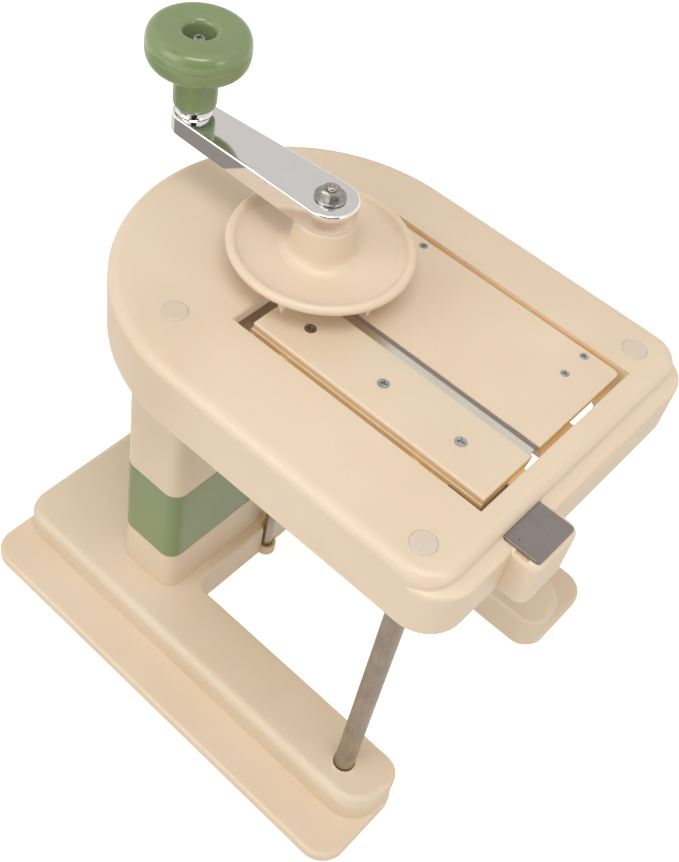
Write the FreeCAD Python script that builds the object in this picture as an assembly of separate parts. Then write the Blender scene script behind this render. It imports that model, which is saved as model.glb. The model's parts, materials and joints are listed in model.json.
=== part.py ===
import FreeCAD, Part
import math
import os

# Hand-crank rotary vegetable slicer.
# Millimetres. +Z is up, +X is the right side, -Y is the front.
# The drawing is laid out about the centre of the table's round back end. Every
# part is moved back by ORIGIN_Y when it is written, so that the origin of the
# frame is the centre of the machine's footprint, on the floor.

V = FreeCAD.Vector
UP = V(0, 0, 1)
ORIGIN_Y = 39.05
SPIN_Y = -1.2                 # the spindle stands just in front of the centre of the round end

# ---- table ---------------------------------------------------------------------------------------
TABLE_TOP = 290.0
TABLE_HALF = 120.0            # half width, and radius of the round back end
TABLE_SKIRT = 43.5
TABLE_BOTTOM = TABLE_TOP - TABLE_SKIRT
TABLE_FRONT = -196.0          # outer front wall
PLATEAU_FRONT = -187.5        # front wall of the raised top
LEDGE_DROP = 9.8
LEDGE_Z = TABLE_TOP - LEDGE_DROP
ROOF = 4.0
WALL = 3.2
TABLE_FILLET = 7.0
LEDGE_FILLET = 3.0
COVE_W = 4.2                  # the raised top runs out onto the front ledge in a hollow curve
COVE_H = 2.8
PLATEAU_CORNER = 20.0
SKIRT_CORNER = 24.0

# ---- pocket in the table -------------------------------------------------------------------------
POCKET_L = -64.0
POCKET_R = 78.2
POCKET_F = -172.6
POCKET_B = 5.0
LIP = 2.5                     # thickness of the wall round the pocket
LIP_DEPTH = 7.5               # how far it shows below the table top
POCKET_ROUND = 2.0
POCKET_WALL_BOTTOM = 262.0
TONGUE_R = 11.0               # round tongue that carries the spindle bush

# ---- front block and thickness slide -------------------------------------------------------------
BLOCK_L = -64.8
BLOCK_R = -24.7
BLOCK_FRONT = -212.9
BLOCK_ROUND = 4.0
SLIDE_L = -61.9
SLIDE_R = -29.3
SLIDE_FRONT = -210.8
SLIDE_BACK = -148.0
SLIDE_Z0 = LEDGE_Z + 0.3
SLIDE_T = 1.6
SLIDE_Z1 = SLIDE_Z0 + SLIDE_T
SLIDE_TRAVEL = 12.0
SLIDE_ARM_R = 24.0            # the tail reaches right, under the infeed plate
SLIDE_ARM_F = -158.5
NUB_X = 17.0
NUB_Y = -153.0
NUB_H = 0.8

# ---- blade tray ----------------------------------------------------------------------------------
TRAY_L = -56.8
TRAY_R = -15.2
TRAY_F = -169.3
TRAY_B = -5.3
TRAY_Z0 = TABLE_TOP - 7.5
SEAM_Z = TABLE_TOP - 4.5
BLADE_EDGE_X = -5.9
BLADE_EDGE_Z = TABLE_TOP - 1.4
BLADE_T = 1.4
BLADE_ROOT_X = -46.0
BLADE_TILT = math.radians(7.0)
BEVEL_W = 3.8
BLADE_F = -167.6
BLADE_B = -6.0
TRAY_STEP = 0.9               # the lower tray stands out past the cover by this much
COVER_ROUND = 1.5
TRAY_SCREW_X = -35.8
TRAY_SCREW_Y = (-29.3, -83.4, -137.5)

# ---- infeed plate --------------------------------------------------------------------------------
INFEED_TOP = TABLE_TOP - 2.2
INFEED_T = 4.0
INFEED_L = -4.6
INFEED_R = 76.2
INFEED_F = -168.2
INFEED_B = -5.3
HINGE_X = 71.0
HINGE_Z = 277.5
HINGE_Y = (-26.5, -146.6)
INFEED_SCREW_X = (51.0, 70.8)
RAMP_DROP = 0.95              # how far the plate comes down at the nub
PIN_R = 2.0

# ---- column, rods, base --------------------------------------------------------------------------
COLUMN_HALF = 94.5
COLUMN_F = 8.0
COLUMN_B = 57.5
COLUMN_CORNER = 10.0
COLUMN_WALL = 3.0
NECK_IN = COLUMN_WALL + 2.9   # how far the inside of the necks stands in from the column face
BAND_Z0 = 69.0
BAND_Z1 = 138.0
COLUMN_TOP = 261.0
BOLT_X = 84.0
BOLT_Y = 29.8
ROD_MID = -0.6                # the pair of rods stands a little left of the spindle
ROD_SPAN = 98.6
ROD_Y = -163.0
PLUG_FRONT_X = (-100.8, 96.4)
PLUG_FRONT_Y = -164.2
PLUG_R = 7.5
ROD_R = 6.6
ROD_BOTTOM = 9.0
ROD_TOP = 271.7
BASE_BOTTOM = 1.0
FLANGE_TOP = 9.0
BASE_TOP = 31.0
FOOT_OUT = 152.0
FOOT_IN = 75.2
FOOT_RAISED = 121.5
FOOT_F = -197.6
FOOT_RAISED_F = -195.3
BASE_BACK = 134.8
BAR_F = -1.0                  # front wall of the rear crossbar
BASE_WALL = 3.0
RIM_OUT = 7.0                 # rounding of the outer top edges
RIM_IN = 2.2                  # rounding of the top edges round the bay
PAD_POS = ((-128.0, -176.0), (128.0, -176.0), (-128.0, 113.0), (128.0, 113.0))

# ---- spindle, disc, crank, knob ------------------------------------------------------------------
SPINDLE_R = 4.0
RUN_FIT = 0.05
LUG_R = 7.0
LUG_TOP = 9.0
DISC_RIM_Z = TABLE_TOP + 22.0
DISC_R = 55.2
BEAD_R = 3.0
PRONG_TIP_Z = TABLE_TOP + 8.5
PRONG_R = 48.5
ARM_TOP = TABLE_TOP + 57.5
ARM_T = 14.0
ARM_Z0 = ARM_TOP - ARM_T
ARM_HUB_R = 17.0
ARM_END_R = 12.9
ARM_RISE = 2.1                # the underside rises this much towards the knob
ARM_ROUND = 1.2
CRANK_R = 101.8
CRANK_ANGLE = math.radians(93.0)
KNOB_X = CRANK_R * math.cos(CRANK_ANGLE)
KNOB_Y = CRANK_R * math.sin(CRANK_ANGLE)
BOSS_R = 9.8
BOSS_FLARE = 1.2
BOSS_H = 5.0
KNOB_Z0 = ARM_TOP + BOSS_H + 0.3
KNOB_MID = TABLE_TOP + 101.6
KNOB_R = 30.1
KNOB_RING = 22.0              # radius of the highest and lowest circles
KNOB_HIGH = 10.4
KNOB_LOW = 11.3
NECK_R = 12.9
RECESS_R = 8.9                # straight wall of the recess in the knob
RECESS_ROUND = 4.0
KNOB_SQUARE = 2.7             # 2 is an ellipse, more is squarer
KNOB_SEAT = TABLE_TOP + 103.0 # floor of the recess, where the screw head sits
MOAT = 5.0
NUT_AF = 10.0


# ---- helpers -------------------------------------------------------------------------------------
def cyl(x, y, z0, z1, r):
    return Part.makeCylinder(r, z1 - z0, V(x, y, z0), UP)


def box(x0, x1, y0, y1, z0, z1):
    return Part.makeBox(x1 - x0, y1 - y0, z1 - z0, V(x0, y0, z0))


def cone(x, y, z0, z1, r0, r1):
    return Part.makeCone(r0, r1, z1 - z0, V(x, y, z0), UP)


def rod_x(s):
    return ROD_MID + s * ROD_SPAN


def vertical_edges(shape):
    found = []
    for e in shape.Edges:
        a = e.Vertexes[0].Point
        b = e.Vertexes[-1].Point
        if abs(a.x - b.x) < 1e-6 and abs(a.y - b.y) < 1e-6 and abs(a.z - b.z) > 0.5:
            found.append(e)
    return found


def edges_at(shape, z):
    found = []
    for e in shape.Edges:
        b = e.BoundBox
        if abs(b.ZMin - z) < 1e-4 and abs(b.ZMax - z) < 1e-4:
            found.append(e)
    return found


def round_box(x0, x1, y0, y1, z0, z1, r):
    b = box(x0, x1, y0, y1, z0, z1)
    return b.makeFillet(r, vertical_edges(b))


def prism(points, z0, z1):
    pts = [V(x, y, z0) for x, y in points]
    wire = Part.makePolygon(pts + [pts[0]])
    return Part.Face(wire).extrude(V(0, 0, z1 - z0))


def section_prism(points, y0, y1):
    # a closed outline in X and Z, drawn along Y
    pts = [V(x, y0, z) for x, z in points]
    wire = Part.makePolygon(pts + [pts[0]])
    return Part.Face(wire).extrude(V(0, y1 - y0, 0))


def turned(points, x=0.0, y=0.0):
    # a closed outline in radius and height, turned about a vertical axis
    pts = [V(x + r, y, z) for r, z in points]
    wire = Part.makePolygon(pts + [pts[0]])
    return Part.Face(wire).revolve(V(x, y, 0), UP, 360)


def d_plan(half, front, corner, z0, z1, grow=0.0):
    # round back end about the spindle axis, straight sides, rounded front corners
    r = half - grow
    f = front + grow
    c = max(corner - grow, 1.0)
    k = c * (1.0 - math.sqrt(0.5))
    edges = [
        Part.Arc(V(r, 0, z0), V(0, r, z0), V(-r, 0, z0)).toShape(),
        Part.makeLine(V(-r, 0, z0), V(-r, f + c, z0)),
        Part.Arc(V(-r, f + c, z0), V(-r + k, f + k, z0), V(-r + c, f, z0)).toShape(),
        Part.makeLine(V(-r + c, f, z0), V(r - c, f, z0)),
        Part.Arc(V(r - c, f, z0), V(r - k, f + k, z0), V(r, f + c, z0)).toShape(),
        Part.makeLine(V(r, f + c, z0), V(r, 0, z0)),
    ]
    return Part.Face(Part.Wire(edges)).extrude(V(0, 0, z1 - z0))


def hexagon(x, y, z0, z1, across_flats, turn=0.0):
    r = across_flats / math.sqrt(3.0)
    pts = []
    for i in range(6):
        a = math.radians(60.0 * i + turn)
        pts.append((x + r * math.cos(a), y + r * math.sin(a)))
    return prism(pts, z0, z1)


def cross_recess(x, y, z_top, size, width, depth):
    a = box(x - size / 2, x + size / 2, y - width / 2, y + width / 2, z_top - depth, z_top + 1)
    b = box(x - width / 2, x + width / 2, y - size / 2, y + size / 2, z_top - depth, z_top + 1)
    tool = a.fuse(b)
    tool.rotate(V(x, y, 0), UP, 20.0)
    return tool


def one(shape):
    # the single solid of a result, out of its wrapper
    return shape.Solids[0] if len(shape.Solids) == 1 else shape


def fuse_all(shapes):
    out = shapes[0]
    for s in shapes[1:]:
        out = out.fuse(s)
    return one(out.removeSplitter())


def mirrored(shape):
    return shape.mirror(V(0, 0, 0), V(1, 0, 0))


def save(name, shape):
    if shape.ShapeType == "Compound" and len(shape.Solids) == 1:
        shape = shape.Solids[0]
    if len(shape.Solids) != 1 or not shape.isValid():
        print("CHECK", name, len(shape.Solids), "solids, valid", shape.isValid())
    shape.translate(V(0, ORIGIN_Y, 0))
    shape.exportStep("parts/" + name + ".step")
    print(name, round(shape.Volume / 1000.0, 2), "cm3")


# ---- base frame ----------------------------------------------------------------------------------
def foot_flanges(g, z0, z1, soft=0.0):
    # the low outer part of both feet, pulled in by g on every side
    parts = []
    for s in (-1, 1):
        xs = sorted((s * (FOOT_OUT - g), s * (FOOT_IN + g)))
        part = round_box(xs[0], xs[1], FOOT_F + g, BASE_BACK - g, z0, z1, 18.0 - g)
        if soft > 0:
            part = part.makeFillet(soft, edges_at(part, z1))
        parts.append(part)
    return parts


def foot_raised(g, z0, z1):
    # the tall inner part of both feet and the crossbar that joins them
    parts = []
    for s in (-1, 1):
        xs = sorted((s * (FOOT_RAISED - g), s * (FOOT_IN + g)))
        block = box(xs[0], xs[1], FOOT_RAISED_F + g, BASE_BACK - g, z0, z1)
        for r, rank in ((22.0, 1), (14.0, 0)):
            corner = [e for e in vertical_edges(block) if e.BoundBox.YMin < FOOT_RAISED_F + g + 0.01
                      and (abs(e.BoundBox.XMin) > 100.0) == (rank == 1)]
            block = one(block.makeFillet(r - g, corner))
        back = [e for e in vertical_edges(block) if e.BoundBox.YMin > BASE_BACK - g - 0.01
                and abs(e.BoundBox.XMin) > 100.0]
        parts.append(one(block.makeFillet(20.0 - g, back)))
    far = FOOT_RAISED - 30.0
    parts.append(box(-far, far, BAR_F + g, BASE_BACK - g, z0, z1))
    shape = fuse_all(parts)
    inner = [e for e in vertical_edges(shape) if abs(e.BoundBox.YMin - BAR_F - g) < 0.01
             and abs(abs(e.BoundBox.XMin) - FOOT_IN - g) < 0.01]
    return one(shape.makeFillet(9.0 + g, inner))


def column_outline(g, z0, z1):
    r = max(COLUMN_CORNER - g, 1.0)
    return round_box(-COLUMN_HALF + g, COLUMN_HALF - g, COLUMN_F + g, COLUMN_B - g, z0, z1, r)


def column_neck(z0, z1):
    return column_outline(COLUMN_WALL + 0.1, z0, z1).cut(column_outline(NECK_IN, z0 - 1.0, z1 + 1.0))


def rounded_rims(shape, outer, inner):
    # the rims round the bay are nearly sharp and the others soft;
    # the front ends of the feet run between the two
    doc = FreeCAD.newDocument("rims")
    base = doc.addObject("Part::Feature", "base")
    base.Shape = shape
    rims = edges_at(shape, BASE_TOP)
    table = []
    for k, e in enumerate(shape.Edges):
        if not any(e.isSame(r) for r in rims):
            continue
        b = e.BoundBox
        mid = max(abs(b.XMin), abs(b.XMax))
        front = b.YMax < FOOT_RAISED_F + 0.01
        if front:
            first = e.valueAt(e.FirstParameter)
            far_first = abs(first.x) > mid - 0.01
            table.append((k + 1, outer if far_first else inner, inner if far_first else outer))
        elif mid > 97.0:
            table.append((k + 1, outer, outer))
        else:
            table.append((k + 1, inner, inner))
    rim = doc.addObject("Part::Fillet", "rim")
    rim.Base = base
    rim.Edges = table
    doc.recompute()
    result = rim.Shape.copy()
    FreeCAD.closeDocument(doc.Name)
    return result


def base_frame():
    # both levels are hollowed from below
    shape = foot_raised(0.0, BASE_BOTTOM, BASE_TOP)
    cavity = foot_raised(BASE_WALL, BASE_BOTTOM - 1.0, BASE_TOP - BASE_WALL)
    shape = one(shape.cut(cavity))
    shape = one(rounded_rims(shape, RIM_OUT, RIM_IN))
    hollows = foot_flanges(BASE_WALL, BASE_BOTTOM - 1.0, FLANGE_TOP - BASE_WALL)
    for flange, hollow in zip(foot_flanges(0.0, BASE_BOTTOM, FLANGE_TOP, 2.5), hollows):
        shape = shape.fuse(flange.cut(cavity))
        shape = shape.cut(hollow)
    # lower column stub with a thinner neck that the band slips over
    stub = column_outline(0.0, BASE_TOP - 4.0, BAND_Z0 - 0.3)
    stub = stub.cut(column_outline(COLUMN_WALL, BASE_TOP - 5.0, BAND_Z0 - 4.0))
    stub = stub.fuse(column_neck(BAND_Z0 - 8.0, BAND_Z0 + 20.0))
    stub = stub.cut(column_outline(NECK_IN, BASE_TOP - 5.0, BAND_Z0 + 21.0))
    shape = shape.cut(column_outline(COLUMN_WALL, BASE_TOP - 5.0, BASE_TOP + 1.0))
    shape = shape.fuse(stub)
    # posts for the column bolts, sockets for the rods, seats for the feet
    for s in (-1, 1):
        shape = shape.fuse(cyl(s * BOLT_X, BOLT_Y, BASE_BOTTOM + 4.0, BASE_TOP + 4.0, 9.5))
        shape = shape.fuse(cyl(rod_x(s), ROD_Y, BASE_BOTTOM, BASE_TOP, 11.0))
        ring = cyl(rod_x(s), ROD_Y, BASE_TOP - 0.5, BASE_TOP + 0.7, 9.4)
        ring = ring.makeFillet(0.5, edges_at(ring, BASE_TOP + 0.7))
        shape = shape.fuse(ring)
    for x, y in PAD_POS:
        shape = shape.fuse(cyl(x, y, BASE_BOTTOM, FLANGE_TOP - 2.0, 11.5))
    for s in (-1, 1):
        shape = shape.cut(cyl(s * BOLT_X, BOLT_Y, 0.0, BASE_TOP + 5.0, 4.3))
        shape = shape.cut(hexagon(s * BOLT_X, BOLT_Y, 0.0, BASE_BOTTOM + 13.5, 13.3))
        shape = shape.cut(cyl(rod_x(s), ROD_Y, ROD_BOTTOM, BASE_TOP + 2.0, ROD_R + RUN_FIT))
        shape = shape.cut(cone(rod_x(s), ROD_Y, BASE_TOP - 1.4, BASE_TOP + 0.8, ROD_R + 0.05, 7.5))
    for x, y in PAD_POS:
        shape = shape.cut(cyl(x, y, 0.0, 4.0, 9.1))
    # lug for the foot of the spindle, with an open groove above it in the crossbar
    post = cyl(0, SPIN_Y, BASE_BOTTOM, BASE_TOP - 2.0, 9.0).cut(box(-20, 20, -20, BAR_F, 0, 40))
    shape = shape.fuse(post)
    lug = cyl(0, SPIN_Y, BASE_BOTTOM, LUG_TOP, LUG_R)
    shape = shape.fuse(lug)
    shape = shape.cut(cyl(0, SPIN_Y, LUG_TOP, BASE_TOP + 1.0, 6.2))
    shape = shape.cut(cyl(0, SPIN_Y, 3.0, LUG_TOP + 1.0, SPINDLE_R + RUN_FIT))
    shape = shape.cut(cone(0, SPIN_Y, LUG_TOP - 1.2, LUG_TOP + 0.01, SPINDLE_R + RUN_FIT, 5.4))
    return shape.removeSplitter()


def foot_pad(x, y):
    p = cyl(x, y, 0.0, 3.9, 9.0)
    return p.makeFillet(0.8, edges_at(p, 0.0))


# ---- column --------------------------------------------------------------------------------------
def column_band():
    ring = column_outline(0.0, BAND_Z0, BAND_Z1)
    lips = edges_at(ring, BAND_Z0) + edges_at(ring, BAND_Z1)
    ring = ring.makeFillet(0.6, lips)
    return ring.cut(column_outline(COLUMN_WALL, BAND_Z0 - 1, BAND_Z1 + 1))


def column_upper():
    shape = column_outline(0.0, BAND_Z1 + 0.3, COLUMN_TOP)
    shape = shape.cut(column_outline(COLUMN_WALL, BAND_Z1 + 4.0, COLUMN_TOP - 4.0))
    shape = shape.cut(column_outline(NECK_IN, BAND_Z1 - 1.0, BAND_Z1 + 5.0))
    shape = shape.fuse(column_neck(BAND_Z1 - 20.0, BAND_Z1 + 8.0))
    for s in (-1, 1):
        shape = shape.cut(cyl(s * BOLT_X, BOLT_Y, COLUMN_TOP - 6.0, COLUMN_TOP + 1.0, 4.3))
    return shape.removeSplitter()


def column_bolt(s):
    x = s * BOLT_X
    shank = cyl(x, BOLT_Y, 6.0, 278.5, SPINDLE_R)
    head = cyl(x, BOLT_Y, 278.0, 284.0, 6.5)
    head = head.makeFillet(0.6, edges_at(head, 284.0))
    return shank.fuse(head).cut(hexagon(x, BOLT_Y, 280.5, 285.0, 6.0)).removeSplitter()


def column_nut(s):
    x = s * BOLT_X
    nut = hexagon(x, BOLT_Y, 7.6, BASE_BOTTOM + 13.4, 13.0)
    return nut.cut(cyl(x, BOLT_Y, 5.0, 16.0, SPINDLE_R + 0.02))


# ---- support rods --------------------------------------------------------------------------------
def support_rod(s):
    x = rod_x(s)
    rod = cyl(x, ROD_Y, ROD_BOTTOM, ROD_TOP, ROD_R)
    rod = rod.makeChamfer(0.8, edges_at(rod, ROD_TOP) + edges_at(rod, ROD_BOTTOM))
    return rod.cut(cyl(x, ROD_Y, ROD_TOP - 22.0, ROD_TOP + 1.0, 3.05))


def rod_screw(s):
    x = rod_x(s)
    shank = cyl(x, ROD_Y, ROD_TOP - 18.0, 280.5, 3.0)
    head = cyl(x, ROD_Y, 280.0, 285.0, 5.0)
    return shank.fuse(head).cut(hexagon(x, ROD_Y, 282.0, 286.0, 5.0)).removeSplitter()


def plug(x, y):
    p = cyl(x, y, 286.2, TABLE_TOP + 0.5, PLUG_R - 0.1)
    return p.makeFillet(0.7, edges_at(p, TABLE_TOP + 0.5))


# ---- table ---------------------------------------------------------------------------------------
def cove_section(px, py, nx, ny, w):
    # upright section of the cove at a point of the raised top's wall;
    # (nx, ny) points out of the wall
    h = COVE_H * w / COVE_W
    k = 0.5523

    def at(out, up):
        return V(px + nx * out, py + ny * out, LEDGE_Z + up)

    curve = Part.BezierCurve()
    curve.setPoles([at(0, h), at(0, h * (1 - k)), at(w * (1 - k), 0), at(w, 0)])
    corners = [at(w, 0), at(w, -0.6), at(-1.0, -0.6), at(-1.0, h), at(0, h)]
    edges = [curve.toShape()] + [Part.LineSegment(a, b).toShape() for a, b in zip(corners, corners[1:])]
    return Part.Wire(edges)


def front_cove():
    # along the front at full size, then round each corner, fading where the ledge runs out
    cx = TABLE_HALF - PLATEAU_CORNER
    cy = PLATEAU_FRONT + PLATEAU_CORNER
    face = Part.Face(cove_section(-cx, PLATEAU_FRONT, 0, -1, COVE_W))
    parts = [face.extrude(V(2 * cx, 0, 0))]
    dx = SKIRT_CORNER - PLATEAU_CORNER
    dy = cy - (TABLE_FRONT + SKIRT_CORNER)
    for s in (-1, 1):
        wires = []
        for i in range(9):
            a = math.radians(6.0 * i)
            b = dx * math.sin(a) - dy * math.cos(a)
            ledge = math.sqrt(b * b + SKIRT_CORNER ** 2 - dx * dx - dy * dy) - b - PLATEAU_CORNER
            w = max(0.12, min(COVE_W, ledge - LEDGE_FILLET))
            nx = s * math.sin(a)
            ny = -math.cos(a)
            wires.append(cove_section(s * cx + PLATEAU_CORNER * nx, cy + PLATEAU_CORNER * ny, nx, ny, w))
        parts.append(Part.makeLoft(wires, True, False))
    return parts


def table_outer():
    skirt = d_plan(TABLE_HALF, TABLE_FRONT, SKIRT_CORNER, TABLE_BOTTOM, LEDGE_Z)
    skirt = skirt.makeFillet(LEDGE_FILLET, edges_at(skirt, LEDGE_Z))
    top = d_plan(TABLE_HALF, PLATEAU_FRONT, PLATEAU_CORNER, TABLE_BOTTOM, TABLE_TOP)
    top = top.makeFillet(TABLE_FILLET, edges_at(top, TABLE_TOP))
    block = box(BLOCK_L, BLOCK_R, BLOCK_FRONT, TABLE_FRONT + 10.0, TABLE_BOTTOM, LEDGE_Z)
    outer_edges = [e for e in vertical_edges(block) if e.BoundBox.YMax < BLOCK_FRONT + 0.1]
    block = block.makeFillet(7.0, outer_edges)
    lips = [e for e in edges_at(block, LEDGE_Z) if e.BoundBox.YMax < TABLE_FRONT + 9.9
            or e.BoundBox.XMax - e.BoundBox.XMin < 1.0]
    block = block.makeFillet(BLOCK_ROUND, lips)
    return fuse_all([skirt, top, block] + front_cove())


def table_inner():
    low = d_plan(TABLE_HALF, TABLE_FRONT, SKIRT_CORNER, TABLE_BOTTOM - 1.0, LEDGE_Z - WALL, WALL)
    high = d_plan(TABLE_HALF, PLATEAU_FRONT, PLATEAU_CORNER, TABLE_BOTTOM - 1.0,
                  TABLE_TOP - ROOF - 3.0, WALL)
    roof = d_plan(TABLE_HALF, PLATEAU_FRONT, PLATEAU_CORNER, TABLE_TOP - ROOF - 4.0,
                  TABLE_TOP - ROOF, WALL + 3.2)
    block = round_box(BLOCK_L + WALL, BLOCK_R - WALL, BLOCK_FRONT + WALL, TABLE_FRONT + 12.0,
                      TABLE_BOTTOM - 1.0, LEDGE_Z - 3.6, 2.0)
    return fuse_all([low, high, roof, block])


def pocket_frame():
    deep = box(POCKET_L - LIP, POCKET_R + LIP, POCKET_F - LIP, POCKET_B + LIP,
               POCKET_WALL_BOTTOM, TABLE_TOP - 1.0)
    # the back wall is only as deep as the lip, so the spindle side stays open
    deep = deep.cut(box(POCKET_L, POCKET_R, POCKET_B - 1.0, POCKET_B + LIP + 1.0,
                        200.0, TABLE_TOP - LIP_DEPTH))
    return deep


def table_ribs():
    ribs = []
    # two cross ribs that the blade tray is screwed to
    for y in (-30.0, -126.0):
        ribs.append(box(POCKET_L - 1.0, -17.0, y - 3.0, y + 3.0, 266.0, TRAY_Z0 - 0.02))
    # ears that hold the hinge pins of the infeed plate
    for y in HINGE_Y:
        for s in (-1, 1):
            a = y + s * 8.4
            b = y + s * 11.6
            ribs.append(box(64.0, POCKET_R + 1.0, min(a, b), max(a, b), 271.0, 283.0))
    # short tabs behind the front wall of the pocket
    for x0, x1, depth in ((-0.2, 30.5, 10.0), (55.8, 69.0, 6.2)):
        ribs.append(box(x0, x1, POCKET_F - 1.0, POCKET_F + depth, 275.0, 279.2))
    return ribs


def table_shell():
    shape = table_outer().cut(table_inner())
    frame = pocket_frame()
    shape = shape.fuse(frame)
    shape = shape.cut(box(POCKET_L, POCKET_R, POCKET_F, POCKET_B, 200.0, TABLE_TOP + 1.0))
    tongue = cyl(0, SPIN_Y, TABLE_TOP - LIP_DEPTH, TABLE_TOP, TONGUE_R)
    tongue = tongue.fuse(box(-TONGUE_R, TONGUE_R, SPIN_Y, POCKET_B + 1.0, TABLE_TOP - LIP_DEPTH, TABLE_TOP))
    tongue = tongue.fuse(cyl(0, SPIN_Y, POCKET_WALL_BOTTOM, TABLE_TOP - 1.0, TONGUE_R))
    for part in [tongue] + table_ribs():
        shape = shape.fuse(part)
    for s in (-1, 1):
        shape = shape.fuse(cyl(s * BOLT_X, BOLT_Y, COLUMN_TOP + 0.1, TABLE_TOP - 2.0, 12.0))
        shape = shape.fuse(cyl(rod_x(s), ROD_Y, 251.0, TABLE_TOP - 2.0, 12.0))
    # socket walls round the top of the column
    socket = column_outline(-2.8, TABLE_BOTTOM + 3.0, TABLE_TOP - 2.0)
    socket = socket.cut(column_outline(-0.3, TABLE_BOTTOM, TABLE_TOP))
    socket = socket.cut(box(-200, 200, -20.0, POCKET_B + 3.2, 200.0, 300.0))
    shape = shape.fuse(socket)
    # bolt, rod and bush holes
    for s in (-1, 1):
        # the right hand bolt is set under a closed roof, the left one under a plug
        bolt_well = TABLE_TOP + 1.0 if s < 0 else TABLE_TOP - 2.6
        shape = shape.cut(cyl(s * BOLT_X, BOLT_Y, 278.0, bolt_well, PLUG_R))
        shape = shape.cut(cyl(s * BOLT_X, BOLT_Y, 240.0, 279.0, 4.3))
        shape = shape.cut(cyl(PLUG_FRONT_X[(s + 1) // 2], PLUG_FRONT_Y, 280.0, TABLE_TOP + 1.0, PLUG_R))
        shape = shape.cut(cyl(rod_x(s), ROD_Y, 240.0, 281.0, 3.3))
        shape = shape.cut(cyl(rod_x(s), ROD_Y, 240.0, ROD_TOP + 0.1, ROD_R + RUN_FIT))
    shape = shape.cut(cyl(0, SPIN_Y, 240.0, TABLE_TOP + 1.0, 8.0))
    # slots for the thickness slide in both front walls, and a thumbnail notch in the block
    shape = shape.cut(box(SLIDE_L - 0.4, SLIDE_R + 0.4, PLATEAU_FRONT - 2.0, POCKET_F + 1.0,
                          LEDGE_Z, SLIDE_Z1 + 0.4))
    shape = shape.cut(box(SLIDE_L - 0.4, SLIDE_R + 0.4, PLATEAU_FRONT - COVE_W - 1.0, PLATEAU_FRONT, LEDGE_Z,
                          LEDGE_Z + COVE_H + 1.0))
    shape = shape.cut(box(BLOCK_L - 1.0, -50.0, -205.3, -196.7, LEDGE_Z - 1.4, LEDGE_Z + 1.0))
    # holes for the tray screws and the hinge pins
    for y in (-30.0, -126.0):
        shape = shape.cut(cyl(-42.0, y, 255.0, TRAY_Z0 + 1.0, 1.7))
    for y in HINGE_Y:
        pin = Part.makeCylinder(PIN_R, 30.0, V(HINGE_X, y - 15.0, HINGE_Z), V(0, 1, 0))
        shape = shape.cut(pin)
    shape = one(shape.removeSplitter())
    # the back edge of the pocket is rounded over on both sides of the tongue
    back = [e for e in edges_at(shape, TABLE_TOP) if abs(e.BoundBox.YMin - POCKET_B) < 0.01
            and e.BoundBox.YMax - e.BoundBox.YMin < 0.01 and e.Length > 20.0]
    return one(shape.makeFillet(POCKET_ROUND, back))


def spindle_bush():
    pts = [(SPINDLE_R + RUN_FIT, POCKET_WALL_BOTTOM), (7.98, POCKET_WALL_BOTTOM), (7.98, TABLE_TOP),
           (10.0, TABLE_TOP), (10.0, TABLE_TOP + 1.0), (9.4, TABLE_TOP + 1.5),
           (SPINDLE_R + RUN_FIT, TABLE_TOP + 1.5)]
    return turned(pts)


# ---- blade tray ----------------------------------------------------------------------------------
def blade_under(x):
    return BLADE_EDGE_Z - (BLADE_EDGE_X - x) * math.tan(BLADE_TILT)


def tray_holes(r, z0, z1):
    return [cyl(TRAY_SCREW_X, y, z0, z1, r) for y in TRAY_SCREW_Y]


def blade():
    x1 = BLADE_EDGE_X
    x2 = BLADE_EDGE_X - BEVEL_W
    x3 = BLADE_ROOT_X
    pts = [(x1, BLADE_EDGE_Z), (x2, blade_under(x2) + BLADE_T), (x3, blade_under(x3) + BLADE_T),
           (x3, blade_under(x3))]
    shape = section_prism(pts, BLADE_F, BLADE_B)
    for hole in tray_holes(2.3, 280.0, 292.0):
        shape = shape.cut(hole)
    return shape.cut(cyl(0, SPIN_Y, 280.0, 292.0, 12.0))


def tray_lower():
    xr = -12.5
    xl = TRAY_L - TRAY_STEP
    pts = [(xl, TRAY_Z0), (-18.0, TRAY_Z0), (xr, blade_under(xr) - 0.02),
           (BLADE_ROOT_X - 0.3, blade_under(BLADE_ROOT_X - 0.3) - 0.02),
           (BLADE_ROOT_X - 0.3, SEAM_Z - 0.02), (xl, SEAM_Z - 0.02)]
    shape = section_prism(pts, TRAY_F, TRAY_B + TRAY_STEP)
    rims = [e for e in edges_at(shape, SEAM_Z - 0.02)
            if e.BoundBox.XMax < xl + 0.1 or e.BoundBox.YMin > TRAY_B]
    shape = shape.makeFillet(0.5, rims)
    # a skirt hangs from the left edge between the ribs and closes the gap to the pocket wall
    for y0, y1 in ((-145.0, -129.4), (-122.6, -33.4), (-26.6, -8.0)):
        shape = shape.fuse(box(xl, xl + 2.4, y0, y1, TRAY_Z0 - 2.9, TRAY_Z0 + 0.5))
    shape = shape.fuse(box(-34.5, -20.0, TRAY_F - 2.6, TRAY_F + 1.0, TRAY_Z0, blade_under(-34.5) - 0.6))
    for hole in tray_holes(1.9, 280.0, 292.0):
        shape = shape.cut(hole)
    for y in (-30.0, -126.0):
        shape = shape.cut(cyl(-42.0, y, 280.0, 283.6, 1.45))
    return shape.cut(cyl(0, SPIN_Y, 280.0, 292.0, 12.0)).removeSplitter()


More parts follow.
